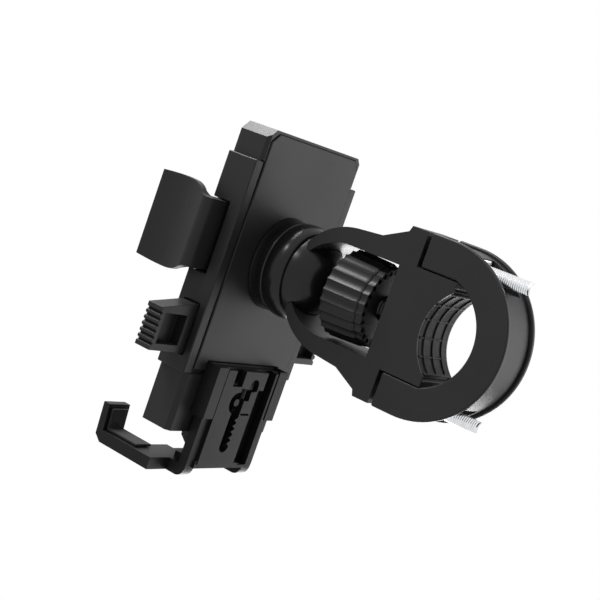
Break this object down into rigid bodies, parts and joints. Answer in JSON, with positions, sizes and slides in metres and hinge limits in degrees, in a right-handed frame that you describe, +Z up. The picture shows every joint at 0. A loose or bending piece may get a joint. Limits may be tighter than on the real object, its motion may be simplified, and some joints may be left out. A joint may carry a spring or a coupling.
{
  "type": "phone_mount",
  "caption": "Handlebar phone mount: two-screw clamp on a fork with a locking ball joint, and a black plastic cradle with sliding side arms, release buttons and an extending foot.",
  "frame": {"origin": "centre of the clamp's bar opening", "axes": "+X along the handlebar, +Y from the cradle to the clamp, +Z up the phone"},
  "size_m": [0.1052, 0.137, 0.1323],
  "materials": {
    "plastic": "fine matte grain",
    "gloss": "polished",
    "inner": "smooth",
    "rubber": "matte",
    "steel": "bright"
  },
  "bodies": {
    "clamp_base": {"yoke": "plastic", "saddle_pad": "rubber", "swivel_ball": "gloss", "stem_screw": "steel"},
    "screw_upper": {"clamp_screw_upper": "steel"},
    "screw_lower": {"clamp_screw_lower": "steel"},
    "jaw": {"jaw": "plastic", "jaw_cover_right": "plastic", "jaw_cover_left": "plastic", "jaw_pad": "rubber", "clamp_nut_upper": "steel", "clamp_nut_lower": "steel"},
    "lock_wheel": {"thumb_wheel": "plastic"},
    "tilt_ring": {"friction_pad": "rubber"},
    "pan_ring": {"socket_liner": "inner"},
    "cradle": {"socket_collar": "gloss", "socket_base": "gloss", "socket_screw_1": "steel", "socket_screw_2": "steel", "socket_screw_3": "steel", "socket_screw_4": "steel", "front_plate": "plastic", "rear_housing": "plastic", "side_casing_right": "plastic", "side_casing_left": "plastic", "back_cover": "plastic", "phone_pad": "rubber", "casing_screw_1": "steel", "casing_screw_2": "steel", "casing_screw_3": "steel", "casing_screw_4": "steel", "pinion_pin": "steel", "button_spring_right": "steel", "button_spring_left": "steel", "foot_guide": "plastic", "foot_latch_pin": "plastic", "guide_screw_1": "steel", "guide_screw_2": "steel"},
    "arm_right": {"arm_right": "plastic", "arm_pad_right": "rubber"},
    "arm_left": {"arm_left": "plastic", "arm_pad_left": "rubber"},
    "pinion": {"pinion_gear": "inner"},
    "button_right": {"release_button_right": "plastic"},
    "button_left": {"release_button_left": "plastic"},
    "foot": {"foot_bracket": "plastic", "foot_pad_right": "rubber", "foot_pad_left": "rubber"}
  },
  "joints": [
    {"name": "clamp_screw_upper_turn", "type": "hinge", "parent": "clamp_base", "child": "screw_upper", "pos_m": [0, 0, 0.025], "axis": [0, -1, 0], "range_deg": [0, 3600.1]},
    {"name": "clamp_screw_lower_turn", "type": "hinge", "parent": "clamp_base", "child": "screw_lower", "pos_m": [0, 0, -0.025], "axis": [0, -1, 0], "range_deg": [0, 3600.1]},
    {"name": "jaw_slide", "type": "slide", "parent": "clamp_base", "child": "jaw", "axis": [0, 1, 0], "range_m": [0, 0.008]},
    {"name": "lock_wheel_turn", "type": "hinge", "parent": "clamp_base", "child": "lock_wheel", "pos_m": [0, -0.031, 0], "axis": [0, 1, 0], "continuous": true},
    {"name": "ball_tilt", "type": "hinge", "parent": "clamp_base", "child": "tilt_ring", "pos_m": [0, -0.0608, 0], "axis": [1, 0, 0], "range_deg": [-4.5, 4.5]},
    {"name": "ball_pan", "type": "hinge", "parent": "tilt_ring", "child": "pan_ring", "pos_m": [0, -0.0608, 0], "axis": [0, 0, 1], "range_deg": [-4.5, 4.5]},
    {"name": "cradle_spin", "type": "hinge", "parent": "pan_ring", "child": "cradle", "pos_m": [0, -0.0608, 0], "axis": [0, 1, 0], "continuous": true},
    {"name": "arm_right_slide", "type": "slide", "parent": "cradle", "child": "arm_right", "axis": [1, 0, 0], "range_m": [-0.0025, 0.012]},
    {"name": "arm_left_slide", "type": "slide", "parent": "cradle", "child": "arm_left", "axis": [-1, 0, 0], "range_m": [-0.0025, 0.012]},
    {"name": "pinion_turn", "type": "hinge", "parent": "cradle", "child": "pinion", "pos_m": [0, -0.0817, 0.0037], "axis": [0, 1, 0], "range_deg": [-28.85, 138.46]},
    {"name": "release_button_right_press", "type": "slide", "parent": "cradle", "child": "button_right", "axis": [-1, 0, 0], "range_m": [0, 0.004], "stiffness_N_per_m": 400, "springref_m": -0.002},
    {"name": "release_button_left_press", "type": "slide", "parent": "cradle", "child": "button_left", "axis": [1, 0, 0], "range_m": [0, 0.004], "stiffness_N_per_m": 400, "springref_m": -0.002},
    {"name": "foot_slide", "type": "slide", "parent": "cradle", "child": "foot", "axis": [0, 0, 1], "range_m": [-0.001, 0.008]}
  ],
  "couplings": [
    {"joint": "clamp_screw_lower_turn", "follows": "jaw_slide", "rad_per_m": 7854},
    {"joint": "clamp_screw_upper_turn", "follows": "jaw_slide", "rad_per_m": 7854},
    {"joint": "arm_left_slide", "follows": "arm_right_slide", "ratio": 1},
    {"joint": "pinion_turn", "follows": "arm_right_slide", "rad_per_m": 201.38}
  ]
}
